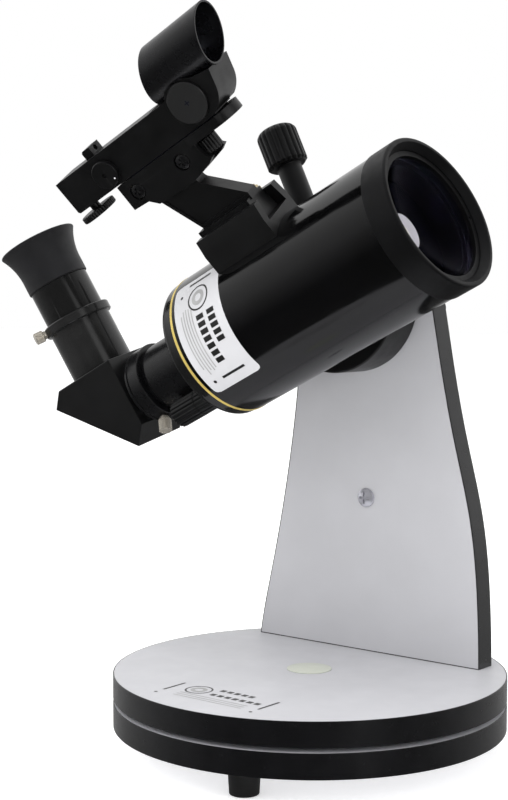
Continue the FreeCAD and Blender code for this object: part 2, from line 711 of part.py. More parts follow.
# ---------------------------------------------------------------- finder
CHANNEL_TOP_HALF = 9.0
CHANNEL_FLOOR_HALF = 11.6
SHOE_SCREW_S = -4.0
SHOE_SCREW_RHO = 51.3
SHOE_SCREW_LEAN = 12.0
BRACKET_SCREWS = ((-5.1, 90.4), (-36.9, 91.5))
CHEEK_T = 1.5
CHEEK_R = 12.4
CHEEK_GAP = 0.35


def shoe_screw_frame():
    """On the channel's centre line, z square to the shoe's leaning upper face on +w."""
    lean = math.radians(SHOE_SCREW_LEAN)
    way = (0, math.cos(lean), math.sin(lean))
    base = (SHOE_SCREW_S, 0, SHOE_SCREW_RHO - 15.0 * math.tan(lean))
    return base, way


def finder_shoe():
    """Dovetail shoe screwed to the tube."""
    top_half = SHOE_HALF_W - 1.9
    steps = [(-SHOE_HALF_W, 30.0), (-SHOE_HALF_W, 46.0), (-top_half, SHOE_TOP), (-CHANNEL_TOP_HALF, SHOE_TOP),
             (-CHANNEL_FLOOR_HALF, CHANNEL_FLOOR), (CHANNEL_FLOOR_HALF, CHANNEL_FLOOR),
             (CHANNEL_TOP_HALF, SHOE_TOP), (top_half, SHOE_TOP), (SHOE_HALF_W, 46.0), (SHOE_HALF_W, 30.0)]
    body = prism_x(steps, SHOE_S[0], SHOE_S[1]).cut(tube_solid())
    base, way = shoe_screw_frame()
    return place(body.cut(cylinder(2.0 + RUNNING, base, way, 30)), FINDER)


def shoe_screw():
    """Brass thumbscrew through the far wall of the shoe."""
    base, way = shoe_screw_frame()
    screw = thumbscrew(2.0, 11.2, 15.2, 6.8, 6.0, 0.6)
    return place(aim(screw, base, way), FINDER)


def finder_bracket():
    """Dovetail foot, leaning stem with sunk sides, clamp block and rounded pivot plate, in one moulding."""
    gap = 0.15
    foot_steps = [(-CHANNEL_FLOOR_HALF + 0.5, CHANNEL_FLOOR + gap), (-CHANNEL_TOP_HALF + 0.3, SHOE_TOP),
                  (-8.7, 57.0), (8.7, 57.0), (CHANNEL_TOP_HALF - 0.3, SHOE_TOP),
                  (CHANNEL_FLOOR_HALF - 0.5, CHANNEL_FLOOR + gap)]
    foot_bar = prism_x(foot_steps, SHOE_S[0] + 1.0, SHOE_S[1] - 5.5)
    stem = prism_y([(-22.9, 55.5), (10.5, 55.5), (10.5, 59.5), (-7.5, 76.3), ((-8.3, 77.8), (-8.2, 81.0)),
                    (-34.1, 81.0)], -4.5, 4.5)
    block_steps = [(-45.6, 85.0), (-45.4, BLOCK_TOP), (6.2, BLOCK_TOP), (6.9, 92.0),
                   ((7.9, 87.0), (10.5, 84.0)), (6.7, 82.1), (-4.8, 79.7), (-31.0, 80.2), (-35.4, 84.4)]
    block = prism_y(block_steps, -BLOCK_HALF_W, BLOCK_HALF_W)
    plate = prism_z([(5.0, -PLATE_HALF_W), (PLATE_END_S, -PLATE_HALF_W),
                     ((PLATE_END_S + PLATE_HALF_W, 0), (PLATE_END_S, PLATE_HALF_W)), (5.0, PLATE_HALF_W)],
                    94.0, BLOCK_TOP)
    body = foot_bar.fuse(stem).fuse(block).fuse(plate)
    panel = [(-22.7, 59.0), (8.6, 59.0), (-8.6, 75.1), (-9.9, 78.5), (-31.3, 78.5)]
    for low, high in ((-4.6, -3.9), (3.9, 4.6)):
        body = body.cut(prism_y(panel, low, high))
    body = body.cut(box((AZIMUTH_KNOB_S - 6.3, -6.3, 79.0), (AZIMUTH_KNOB_S + 6.0, 6.3, 94.0)))
    body = body.cut(cylinder(1.5 + RUNNING, (AZIMUTH_KNOB_S, 0, 80), (0, 0, 1), 30))
    body = body.cut(cylinder(SWING_STUD_R + RUNNING, (PIVOT_S, 0, 90), (0, 0, 1), 20))
    for s, rho in BRACKET_SCREWS:
        body = body.cut(cylinder(4.4, (s, -BLOCK_HALF_W - 1, rho), (0, 1, 0), 2.2))
    return place(body.removeSplitter(), FINDER).cut(bracket_screws())


def bracket_screws():
    """Two cross-slot screws in the near side of the block."""
    screws = []
    for s, rho in BRACKET_SCREWS:
        screws.append(aim(pan_screw(3.65, 1.6, 1.5, 12.0, 0.9), (s, -BLOCK_HALF_W + 1.2, rho), (0, -1, 0)))
    return place(Part.makeCompound(screws), FINDER)


def finder_azimuth_knob():
    """Knurled knob in the block's front pocket."""
    steps = [(85.0, 0), (85.0, 5.0), (85.5, 5.5), (92.6, 5.5), (93.1, 5.0), (93.1, 1.5), (98.6, 1.5),
             (98.6, 0)]
    body = grooved(lathe(steps, "z"), "z", 5.65, 16, 0.5, 84, 94)
    return place(place(body, FreeCAD.Placement(V(AZIMUTH_KNOB_S, 0, 0), FreeCAD.Rotation())), FINDER)


def finder_body():
    """Long housing of the finder: battery and lamp inside, a trough on top for the hood."""
    steps = [(BAR_S[0], BAR_BOTTOM + 1.0), (BAR_S[0], BAR_TOP), (BAR_S[1], BAR_TOP), (BAR_S[1], BAR_BOTTOM),
             (BAR_S[0] + 1.0, BAR_BOTTOM)]
    body = prism_y(steps, -BLOCK_HALF_W, BLOCK_HALF_W)
    cavity = box((BAR_S[0] + 8.0, -7.5, BAR_BOTTOM + 3.0), (4.0, 7.5, BAR_TOP - 2.0))
    tab_outline = [(-52.4, BAR_TOP), (-52.4, 122.6), (-51.4, 123.5), (-46.6, 123.5), (-46.6, BAR_TOP)]
    tab = prism_y(tab_outline, -5.0, 5.0)
    stud = cylinder(SWING_STUD_R, (PIVOT_S, 0, 94.5), (0, 0, 1), BAR_BOTTOM + 1.0 - 94.5)
    body = body.fuse(tab).fuse(stud).cut(cavity).cut(cylinder(1.5, (-55.0, 0, 121.2), (1, 0, 0), 12))
    body = body.cut(cylinder(HOOD_R + 1.1, (-4, 0, HOOD_RHO), (1, 0, 0), 60))
    body = body.cut(cylinder(1.5 + RUNNING, (WHEEL_S, 0, 90), (0, 0, 1), 20))
    body = body.cut(cylinder(1.5 + RUNNING, (DIAL_S, -20, DIAL_RHO), (0, 1, 0), 15))
    for way in (-1, 1):
        body = body.cut(cylinder(2.0 + RUNNING, (PIVOT_S, way * 4.5, PIVOT_RHO), (0, way, 0), 10))
    return place(body.removeSplitter(), FINDER)


def battery():
    """Button cell standing on edge inside the finder body."""
    return place(cylinder(6.2, (-12.0, -2.7, BAR_BOTTOM + 9.2), (0, 1, 0), 5.4), FINDER)


def dimmer_dial():
    """Round switch and brightness dial on the near side."""
    disc = lathe([(0.35, 0), (0.35, 7.3), (2.7, 7.3), (3.1, 6.9), (3.1, 0)], "z")
    shaft = cylinder(1.5, (0, 0, -2.5), (0, 0, 1), 3.0)
    body = disc.fuse(shaft).cut(cylinder(1.2, (0, 0, 2.3), (0, 0, 1), 2))
    return place(aim(body, (DIAL_S, -BLOCK_HALF_W, DIAL_RHO), (0, -1, 0)), FINDER)


def finder_wheel():
    """Flat adjusting wheel under the rear of the finder body."""
    steps = [(93.0, 0), (93.0, 9.6), (93.5, 10.1), (96.0, 10.1), (96.5, 9.6), (96.5, 2.6),
             (BAR_BOTTOM - 0.35, 2.6),
             (BAR_BOTTOM - 0.35, 1.5), (102.5, 1.5), (102.5, 0)]
    body = grooved(lathe(steps, "z"), "z", 10.3, 30, 0.5, 92, 97)
    return place(place(body, FreeCAD.Placement(V(WHEEL_S, 0, 0), FreeCAD.Rotation())), FINDER)


def finder_yoke():
    """Tilting yoke: two cheeks on the pivots and a cradle under the hood's front."""
    inner = BLOCK_HALF_W + CHEEK_GAP
    outer = inner + CHEEK_T
    cheek_steps = [(PIVOT_S + 1.5, PIVOT_RHO + CHEEK_R - 0.1),
                   ((PIVOT_S - CHEEK_R, PIVOT_RHO), (PIVOT_S, PIVOT_RHO - CHEEK_R)), (30.0, 100.6),
                   ((35.6, 105.0), (38.6, 111.0)), (41.0, 118.6), (30.0, 120.4)]
    plate = prism_y(cheek_steps, -outer, outer)
    slot = box((0.0, -inner, 90.0), (BAR_S[1] + 1.5, inner, 140.0))
    body = plate.cut(slot).cut(cylinder(HOOD_R, (-10, 0, HOOD_RHO), (1, 0, 0), 80))
    for way in (-1, 1):
        pin = cylinder(2.0, (PIVOT_S, way * 5.5, PIVOT_RHO), (0, way, 0), inner - 5.0)
        body = body.fuse(pin)
    return place(body.removeSplitter(), FINDER)


def pivot_discs():
    """Two cover discs outside the yoke's cheeks."""
    discs = []
    for way in (-1, 1):
        start = way * (BLOCK_HALF_W + CHEEK_GAP + CHEEK_T)
        disc = lathe([(0, 0), (0, 10.6), (1.2, 10.6), (1.6, 10.2), (1.6, 0)], "z")
        discs.append(aim(disc, (PIVOT_S, start, PIVOT_RHO), (0, way, 0)))
    return place(Part.makeCompound(discs), FINDER)


def hood_tube():
    """Thin hood with both ends cut at a slant, leaning forward at the top."""
    body = ring(HOOD_R, HOOD_R - HOOD_WALL, (-40, 0, 0), (1, 0, 0), 140)
    half = HOOD_R + 2
    steps = [(8.1 - 0.35 * half, -half), (47.0 - 0.42 * half, -half), (47.0 + 0.42 * half, half),
             (8.1 + 0.35 * half, half)]
    body = body.common(prism_y(steps, -half, half))
    return place(place(body, FreeCAD.Placement(V(0, 0, HOOD_RHO), FreeCAD.Rotation())), FINDER)


def hood_lens():
    """Tilted reflecting window inside the hood."""
    body = cylinder(HOOD_R - HOOD_WALL, (-20, 0, 0), (1, 0, 0), 90)
    half = HOOD_R
    steps = [(30.0 - 0.38 * half, -half), (31.5 - 0.38 * half, -half), (31.5 + 0.38 * half, half),
             (30.0 + 0.38 * half, half)]
    body = body.common(prism_y(steps, -half, half))
    return place(place(body, FreeCAD.Placement(V(0, 0, HOOD_RHO), FreeCAD.Rotation())), FINDER)


NODES = {
    "ground_board": ground_board,
    "ground_edge_band": lambda: edge_band(Z_GROUND),
    "feet": lambda: at_feet(foot()),
    "foot_screws": lambda: at_feet(foot_screw()),
    "azimuth_pads": azimuth_pads,
    "azimuth_bolt": azimuth_bolt,
    "azimuth_nut": azimuth_nut,
    "turntable_board": turntable_board,
    "turntable_edge_band": lambda: edge_band(Z_TURN),
    "pivot_bush": pivot_bush,
    "pivot_cap": pivot_cap,
    "arm_board": arm_board,
    "arm_edge_band": arm_edge_band,
    "arm_base_screws": arm_base_screws,
    "arm_face_screw": face_screw,
    "altitude_bush": altitude_bush,
    "tension_washer": tension_washer,
    "altitude_hub": altitude_hub,
    "altitude_bolt": altitude_bolt,
    "friction_washer": friction_washer,
    "dovetail_bar": dovetail_bar,
    "tension_knob": tension_knob,
    "clamp_knob": clamp_knob,
    "main_tube": main_tube,
    "front_ring": front_ring,
    "corrector_lens": corrector_lens,
    "retaining_ring": retaining_ring,
    "trim_ring": trim_ring,
    "rear_cell": rear_cell,
    "baffle_tube": baffle_tube,
    "mirror_carrier": mirror_carrier,
    "primary_mirror": primary_mirror,
    "focus_knob": focus_knob,
    "focus_shaft": focus_shaft,
    "visual_back": visual_back,
    "visual_back_ring": visual_back_ring,
    "visual_back_screw": visual_back_screw,
    "diagonal_housing": diagonal_housing,
    "diagonal_mirror": diagonal_mirror,
    "diagonal_nose": diagonal_nose,
    "eyepiece_holder": eyepiece_holder,
    "holder_screw": holder_screw,
    "eyepiece_barrel": eyepiece_barrel,
    "eyepiece_body": eyepiece_body,
    "field_lens": field_lens,
    "eye_lens": eye_lens,
    "eyecup": eyecup,
    "finder_shoe": finder_shoe,
    "shoe_screw": shoe_screw,
    "finder_bracket": finder_bracket,
    "bracket_screws": bracket_screws,
    "finder_azimuth_knob": finder_azimuth_knob,
    "finder_body": finder_body,
    "battery": battery,
    "dimmer_dial": dimmer_dial,
    "finder_wheel": finder_wheel,
    "finder_yoke": finder_yoke,
    "pivot_discs": pivot_discs,
    "hood_tube": hood_tube,
    "hood_lens": hood_lens,
}

os.makedirs("parts", exist_ok=True)
for name, make in NODES.items():
    make().exportStep(f"parts/{name}.step")
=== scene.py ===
"""Looks of the tabletop telescope: every place and size comes from the CAD frame, in metres.

Round pieces are turned again, finely and with rounded corners, from the outline of their CAD node.
Prismatic pieces are copies of their node with softened edges. Labels, marks, the tube's matt lining, a
painted shadow line at the arm's foot and dark bars of painted shade in the seam under the finder are added.
"""
import json
import math

import bmesh
import bpy
from mathutils import Matrix, Vector

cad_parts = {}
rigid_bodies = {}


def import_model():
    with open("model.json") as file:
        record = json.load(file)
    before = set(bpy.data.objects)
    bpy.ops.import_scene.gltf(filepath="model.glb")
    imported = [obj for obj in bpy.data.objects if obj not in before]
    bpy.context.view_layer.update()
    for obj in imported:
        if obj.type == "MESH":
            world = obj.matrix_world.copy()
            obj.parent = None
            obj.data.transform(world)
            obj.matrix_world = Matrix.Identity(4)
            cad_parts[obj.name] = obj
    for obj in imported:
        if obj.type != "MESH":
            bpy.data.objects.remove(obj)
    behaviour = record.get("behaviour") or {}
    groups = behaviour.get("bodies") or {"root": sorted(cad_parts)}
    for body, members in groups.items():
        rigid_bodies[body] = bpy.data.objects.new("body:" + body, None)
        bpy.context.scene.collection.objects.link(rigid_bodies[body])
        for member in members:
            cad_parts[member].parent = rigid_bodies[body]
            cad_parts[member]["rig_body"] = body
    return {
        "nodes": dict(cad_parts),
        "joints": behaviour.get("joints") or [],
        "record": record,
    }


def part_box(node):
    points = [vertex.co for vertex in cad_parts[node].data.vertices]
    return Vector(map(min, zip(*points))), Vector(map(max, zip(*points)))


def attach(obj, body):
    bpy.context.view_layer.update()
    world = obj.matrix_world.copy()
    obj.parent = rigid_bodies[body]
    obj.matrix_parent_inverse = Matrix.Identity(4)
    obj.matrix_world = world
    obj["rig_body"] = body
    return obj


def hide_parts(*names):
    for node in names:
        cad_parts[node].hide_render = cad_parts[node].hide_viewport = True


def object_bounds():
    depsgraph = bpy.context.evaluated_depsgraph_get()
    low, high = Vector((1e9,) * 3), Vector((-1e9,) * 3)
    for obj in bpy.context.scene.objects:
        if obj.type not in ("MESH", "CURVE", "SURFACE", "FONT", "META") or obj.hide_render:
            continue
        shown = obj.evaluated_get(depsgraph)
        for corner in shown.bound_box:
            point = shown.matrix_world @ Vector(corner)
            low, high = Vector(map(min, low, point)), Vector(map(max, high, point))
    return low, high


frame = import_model()
cad_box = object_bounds()
nodes = frame["nodes"]
slot_of = {part["node"]: part["material_slot"] for part in frame["record"]["subparts"]}
ways = {joint["name"]: Vector(joint["axis"]).normalized() for joint in frame["joints"]}
MM = 0.001
SAME_PLACE = 1e-6  # metres: vertices nearer than this are one, and radii below it lie on the axis
SHARP = math.radians(38)  # edges that turn more than this are shaded as creases
CORNER = math.radians(28)  # outlines and edges that turn more than this are rounded
UP = Vector((0, 0, 1))
LEVEL = Vector((0, 1, 0))
TUBE_WAY = ways["diagonal_roll"]
EYE_WAY = ways["eyepiece_slide"]
FINDER_UP = ways["finder_swing"]
FINDER_SIDE = ways["hood_tilt"]


# ---------------------------------------------------------------- materials
def mix_colours(tree, dark, light, factor):
    """A colour between two, by a factor socket."""
    mix = tree.nodes.new("ShaderNodeMix")
    mix.data_type = "RGBA"
    mix.inputs["A"].default_value = (*dark, 1)
    mix.inputs["B"].default_value = (*light, 1)
    tree.links.new(factor, mix.inputs["Factor"])
    return mix.outputs["Result"]


def noise(tree, coordinates, scale, detail=3.0, stretch=(1, 1, 1)):
    """A noise factor at a scale in features per metre."""
    mapping = tree.nodes.new("ShaderNodeMapping")
    mapping.inputs["Scale"].default_value = stretch
    texture = tree.nodes.new("ShaderNodeTexNoise")
    texture.inputs["Scale"].default_value = scale
    texture.inputs["Detail"].default_value = detail
    tree.links.new(coordinates, mapping.inputs["Vector"])
    tree.links.new(mapping.outputs["Vector"], texture.inputs["Vector"])
    return texture.outputs["Fac"]


def spread(tree, factor, low, high, from_low=0.3, from_high=0.7):
    """A factor mapped to a range."""
    span = tree.nodes.new("ShaderNodeMapRange")
    span.inputs["From Min"].default_value = from_low
    span.inputs["From Max"].default_value = from_high
    span.inputs["To Min"].default_value = low
    span.inputs["To Max"].default_value = high
    tree.links.new(factor, span.inputs["Value"])
    return span.outputs["Result"]


def surface(name, dark, light, rough, metal=0.0, mottle=60.0, grain=2500.0, bump=0.05, depth=0.02,
            stretch=(1, 1, 1), edge_wear_and_highlight=None, **fixed):
    """A procedural finish: mottled colour, uneven roughness, a fine grain, and edges lightened by pointiness,
    partly as rubbed wear and partly as a painted edge highlight.
    """
    material = bpy.data.materials.new(name)
    material.use_nodes = True
    tree = material.node_tree
    shader = tree.nodes["Principled BSDF"]
    coordinates = tree.nodes.new("ShaderNodeTexCoord").outputs["Object"]
    colour = mix_colours(tree, dark, light, spread(tree, noise(tree, coordinates, mottle), 0, 1))
    # Lightened sharp edges: partly rubbed wear, partly a painted highlight along the edges.
    if edge_wear_and_highlight:
        edges = tree.nodes.new("ShaderNodeNewGeometry").outputs["Pointiness"]
        rubbed_and_highlit = tree.nodes.new("ShaderNodeMix")
        rubbed_and_highlit.data_type = "RGBA"
        rubbed_and_highlit.inputs["B"].default_value = (*edge_wear_and_highlight, 1)
        tree.links.new(spread(tree, edges, 0, 0.5, 0.53, 0.62), rubbed_and_highlit.inputs["Factor"])
        tree.links.new(colour, rubbed_and_highlit.inputs["A"])
        colour = rubbed_and_highlit.outputs["Result"]
    tree.links.new(colour, shader.inputs["Base Color"])
    smudges = noise(tree, coordinates, mottle * 2.5, 4.0)
    tree.links.new(spread(tree, smudges, *rough), shader.inputs["Roughness"])
    fine = noise(tree, coordinates, grain, 2.0, stretch)
    relief = tree.nodes.new("ShaderNodeBump")
    relief.inputs["Strength"].default_value = bump
    relief.inputs["Distance"].default_value = depth * MM
    tree.links.new(fine, relief.inputs["Height"])
    tree.links.new(relief.outputs["Normal"], shader.inputs["Normal"])
    shader.inputs["Metallic"].default_value = metal
    for socket, value in fixed.items():
        shader.inputs[socket.replace("_", " ")].default_value = value
    return material


def grey(value, tint=0.0):
    """A near-neutral colour, a little blue where tint is positive."""
    return (value * (1 - tint / 2), value * (1 - tint / 2), value * (1 + tint))


# Edge colours given by keyword in some finishes below lighten sharp edges: partly rubbed wear, partly a
# painted edge highlight.
MATERIALS = {
    "white_laminate": surface("laminate", grey(0.485, 0.03), grey(0.51, 0.03), (0.38, 0.5), mottle=35,
                              grain=1800, bump=0.1, depth=0.02),
    "edge_band": surface("edge_banding", grey(0.0035, 0.1), grey(0.0055, 0.1), (0.2, 0.28), mottle=90,
                         grain=1500, bump=0.05, depth=0.01, stretch=(1, 1, 0.1), edge_wear_and_highlight=grey(0.03)),
    "foot_rubber": surface("foot_rubber", grey(0.006), grey(0.01), (0.55, 0.7), grain=3500, bump=0.2),
    "eyecup_rubber": surface("eyecup_rubber", grey(0.008, 0.1), grey(0.012, 0.1), (0.5, 0.62), grain=3000,
                             bump=0.15, depth=0.02, Sheen_Weight=0.04),
    "steel": surface("zinc_steel", grey(0.55, 0.06), grey(0.66, 0.06), (0.16, 0.26), 0.6, grain=4000,
                     bump=0.06),
    "slippery_pad": surface("nylon", grey(0.6), grey(0.68), (0.4, 0.5)),
    "cap_plastic": surface("cap_plastic", (0.5, 0.52, 0.45), (0.53, 0.55, 0.48), (0.3, 0.36), mottle=20,
                           bump=0.0),
    "fibre": surface("fibre", grey(0.02), grey(0.035), (0.7, 0.85), grain=1200, bump=0.4),
    "tube_paint": surface("gloss_enamel", grey(0.0012), grey(0.0022, 0.1), (0.08, 0.14), mottle=30, grain=420,
                          bump=0.04, depth=0.04),
    "black_metal": surface("black_anodised", grey(0.003, 0.1), grey(0.005, 0.1), (0.24, 0.32), mottle=80,
                           grain=3500, bump=0.04, depth=0.01, edge_wear_and_highlight=grey(0.04)),
    "moulded_black": surface("moulded_black", grey(0.003, 0.05), grey(0.005, 0.05), (0.34, 0.44), mottle=70,
                             grain=2600, bump=0.1, depth=0.015, edge_wear_and_highlight=grey(0.02)),
    "gold_trim": surface("gold_anodised", (0.62, 0.47, 0.12), (0.7, 0.55, 0.17), (0.35, 0.45), 0.35,
                         bump=0.03),
    "nickel": surface("nickel_plate", (0.5, 0.46, 0.39), (0.6, 0.56, 0.49), (0.16, 0.26), 0.7, bump=0.04),
    "chrome": surface("chrome_plate", grey(0.62), grey(0.7), (0.05, 0.1), 1.0, bump=0.01),
    "brass": surface("pale_brass", (0.55, 0.46, 0.27), (0.62, 0.53, 0.34), (0.2, 0.32), 0.7, bump=0.04),
    "coated_glass": surface("coated_glass", (0.75, 0.77, 0.92), (0.77, 0.75, 0.93), (0.0, 0.02), grain=500,
                            bump=0.0, Transmission_Weight=1.0, IOR=1.07, Specular_Tint=(0.45, 0.3, 1.0, 1)),
    "silvered_glass": surface("silvering", grey(0.82), grey(0.86), (0.0, 0.02), 1.0, bump=0.0),
}
# GLOSSY_BLACK and HOLDER_BLACK also lighten sharp edges: partly rubbed wear, partly a painted edge highlight.
GLOSSY_BLACK = surface("gloss_black", grey(0.005), grey(0.008), (0.08, 0.13), mottle=40, grain=900, bump=0.02,
                       edge_wear_and_highlight=grey(0.04))
HOLDER_BLACK = surface("holder_black", grey(0.009), grey(0.014), (0.1, 0.18), mottle=60, grain=2500,
                       bump=0.04, edge_wear_and_highlight=grey(0.06))
LABEL_WHITE = surface("label_film", grey(0.52, 0.02), grey(0.56, 0.02), (0.3, 0.4), mottle=45, grain=2500,
                      bump=0.05)
LABEL_INK = surface("label_ink", grey(0.008), grey(0.014), (0.35, 0.45))
LABEL_GREY = surface("label_fine_ink", grey(0.28), grey(0.36), (0.35, 0.45))
# The spot's emission is a painted highlight: the silvered spot glows though it is no lamp.
SPOT_SILVER_PAINTED_GLOW = surface("spot_silvering_painted_glow", (0.6, 0.6, 0.5), (0.68, 0.68, 0.58), (0.35, 0.45), bump=0.02,
                      Emission_Color=(1.0, 0.95, 0.62, 1), Emission_Strength=0.22)
# Painted reflection: the faint blue tint stands in for the coated corrector's bluish cast over the dark
# inside of the tube.
MATT_BLACK = surface("matt_lining", (0.003, 0.004, 0.01), (0.004, 0.005, 0.012), (0.85, 0.95), bump=0.0,
                     Specular_IOR_Level=0.2)
RING_BLACK = surface("ring_black", grey(0.0025, 0.1), grey(0.004, 0.1), (0.42, 0.52), mottle=90, grain=3500,
                     bump=0.08, Specular_IOR_Level=0.3)
# Dark colour for the painted shadow line at the arm's foot.
FOOT_SHADOW_DARK = surface("painted_foot_shadow", grey(0.02), grey(0.03), (0.7, 0.8), bump=0.0)


# ---------------------------------------------------------------- turning and softening
def finish_piece(name, mesh, material, body, replaced=()):
    """Links a mesh as a piece: smooth, weighted normals, material, body and slot."""
    piece = bpy.data.objects.new(name, mesh)
    bpy.context.scene.collection.objects.link(piece)
    mesh.materials.clear()
    mesh.materials.append(material)
    for polygon in mesh.polygons:
        polygon.use_smooth = True
    mesh.set_sharp_from_angle(angle=SHARP)
    normals = piece.modifiers.new("normals", "WEIGHTED_NORMAL")
    normals.keep_sharp = True
    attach(piece, body)
    if replaced:
        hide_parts(*replaced)
    return piece


def axis_frame(vertices, way):
    """From a local frame, x along way through the middle of the vertices, to the row frame."""
    x = way.normalized()
    side = UP if abs(x.z) < 0.9 else LEVEL
    y = side.cross(x).normalized()
    turn = Matrix((x, y, x.cross(y))).transposed()
    local = [turn.transposed() @ v for v in vertices]
    middle = [(min(p[i] for p in local) + max(p[i] for p in local)) / 2 for i in (1, 2)]
    return Matrix.Translation(turn @ Vector((0, *middle))) @ turn.to_4x4()


def cut_edges(work, place, angle):
    """Edges (pairs of (along, radius) points) where the half-plane at angle about the axis cuts a mesh."""
    work.transform(Matrix.Rotation(-angle, 4, "X") @ place.inverted())
    bmesh.ops.remove_doubles(work, verts=work.verts, dist=SAME_PLACE)
    geometry = work.verts[:] + work.edges[:] + work.faces[:]
    cut = bmesh.ops.bisect_plane(work, geom=geometry, dist=1e-8, plane_co=(0, 0, 0), plane_no=(0, 1, 0))
    pairs = []
    for edge in cut["geom_cut"]:
        if not isinstance(edge, bmesh.types.BMEdge):
            continue
        a, b = ((v.co.x, v.co.z) for v in edge.verts)
        if a[1] < b[1]:
            a, b = b, a
        if a[1] <= 1e-7:
            continue
        if b[1] < 0:
            share = a[1] / (a[1] - b[1])
            b = (a[0] + (b[0] - a[0]) * share, 0.0)
        pairs.append((a, b))
    return pairs


def chain(pairs):
    """The points of the outline in order, and whether it closes on itself."""
    cells_per_metre = 2e5

    def key(p):
        return round(p[0] * cells_per_metre), round(p[1] * cells_per_metre)

    beside = {}
    place = {}
    for a, b in pairs:
        if key(a) == key(b):
            continue
        for p, q in ((a, b), (b, a)):
            beside.setdefault(key(p), set()).add(key(q))
            place[key(p)] = p
    ends = sorted(k for k in beside if len(beside[k]) == 1)
    here = ends[0] if ends else min(beside)
    order = [here]
    while True:
        onward = [k for k in sorted(beside[here]) if k not in order]
        if not onward:
            break
        here = onward[0]
        order.append(here)
    return [place[k] for k in order], not ends


def straight(points, closed):
    """The outline without points in line with their neighbours."""
    in_line = math.radians(0.6)
    kept = []
    count = len(points)
    for i, here in enumerate(points):
        if not closed and i in (0, count - 1):
            kept.append(here)
            continue
        before = Vector(kept[-1] if kept else points[i - 1])
        after = Vector(points[(i + 1) % count])
        a, b = Vector(here) - before, after - Vector(here)
        if a.length > 1e-7 and b.length > 1e-7 and abs(a.angle_signed(b)) > in_line:
            kept.append(here)
    return kept


def rounded(points, closed, fillet, steps=4):
    """The outline with each real corner rounded, by at most 0.4 of the shorter side beside it."""
    shaped = []
    count = len(points)
    for i, here in enumerate(points):
        if not closed and i in (0, count - 1):
            shaped.append(here)
            continue
        corner = Vector(here)
        before, after = Vector(points[i - 1]), Vector(points[(i + 1) % count])
        turn = abs((corner - before).angle_signed(after - corner))
        if turn < CORNER:
            shaped.append(here)
            continue
        reach = min(fillet, 0.4 * (corner - before).length, 0.4 * (after - corner).length)
        start = corner + (before - corner).normalized() * reach
        end = corner + (after - corner).normalized() * reach
        for j in range(steps + 1):
            t = j / steps
            point = start * (1 - t) ** 2 + corner * 2 * t * (1 - t) + end * t ** 2
            shaped.append((point.x, point.y))
    return shaped


def true_radius(points, vertices, place):
    """The outline's radii put back on the real circles, which a mesh's facets cut short."""
    cells_per_metre = 1e5
    over, short = 2e-6, 8e-5  # metres by which a cut radius may pass its circle's or fall short of it
    back = place.inverted()
    rings = {}
    for vertex in vertices:
        p = back @ vertex
        rings.setdefault(round(p.x * cells_per_metre), set()).add(math.hypot(p.y, p.z))
    mended = []
    for along, radius in points:
        near = [r for r in rings.get(round(along * cells_per_metre), ()) if -over < r - radius < short]
        mended.append((along, max(near) if near else radius))
    return mended


def spun(points, closed, place, segments, ribs=None):
    """A mesh turned from an outline. ribs is (count, depth, low, high): grooves in the outer wall."""
    outer_wall, fade = 0.85, 0.1  # shares of the widest radius: where grooves begin, and grow to full depth
    work = bmesh.new()
    widest = max(radius for _, radius in points)
    rings = []
    for along, radius in points:
        if radius < SAME_PLACE:
            rings.append([work.verts.new(place @ Vector((along, 0, 0)))])
            continue
        ring = []
        for i in range(segments):
            turn = 2 * math.pi * i / segments
            r = radius
            if ribs and ribs[2] <= along <= ribs[3] and radius > outer_wall * widest:
                count, depth = ribs[:2]
                groove = (0.5 + 0.5 * math.cos(turn * count)) ** 3
                r -= depth * groove * min(1.0, (radius / widest - outer_wall) / fade)
            ring.append(work.verts.new(place @ Vector((along, r * math.cos(turn), r * math.sin(turn)))))
        rings.append(ring)
    pairs = list(zip(rings, rings[1:] + (rings[:1] if closed else [])))
    for low, high in pairs:
        for i in range(segments):
            corners = [low[i % len(low)], low[(i + 1) % len(low)],
                       high[(i + 1) % len(high)], high[i % len(high)]]
            face = list(dict.fromkeys(corners))
            if len(face) > 2:
                work.faces.new(face)
    bmesh.ops.recalc_face_normals(work, faces=work.faces)
    return work


def subdivided(points, closed, longest):
    """The outline with long straight runs divided, so that grooves follow them."""
    fine = []
    count = len(points)
    for i, here in enumerate(points):
        fine.append(here)
        if i == count - 1 and not closed:
            break
        a, b = Vector(here), Vector(points[(i + 1) % count])
        parts = int((b - a).length / longest)
        for j in range(1, parts + 1):
            p = a.lerp(b, j / (parts + 1))
            fine.append((p.x, p.y))
    return fine


def to_mesh(work, name):
    """The finished mesh of a bmesh."""
    mesh = bpy.data.meshes.new(name)
    work.to_mesh(mesh)
    work.free()
    return mesh


def islands(node):
    """Each separate solid of a node as its own bmesh."""
    whole = bmesh.new()
    whole.from_mesh(nodes[node].data)
    bmesh.ops.remove_doubles(whole, verts=whole.verts, dist=SAME_PLACE)
    left = set(whole.verts)
    groups = []
    while left:
        seed = min(left, key=lambda v: v.index)
        found = {seed}
        front = [seed]
        while front:
            for edge in front.pop().link_edges:
                for v in edge.verts:
                    if v not in found:
                        found.add(v)
                        front.append(v)
        left -= found
        groups.append({v.index for v in found})
    solids = []
    for group in groups:
        one = whole.copy()
        one.verts.ensure_lookup_table()
        bmesh.ops.delete(one, geom=[v for v in one.verts if v.index not in group], context="VERTS")
        solids.append(one)
    whole.free()
    return solids


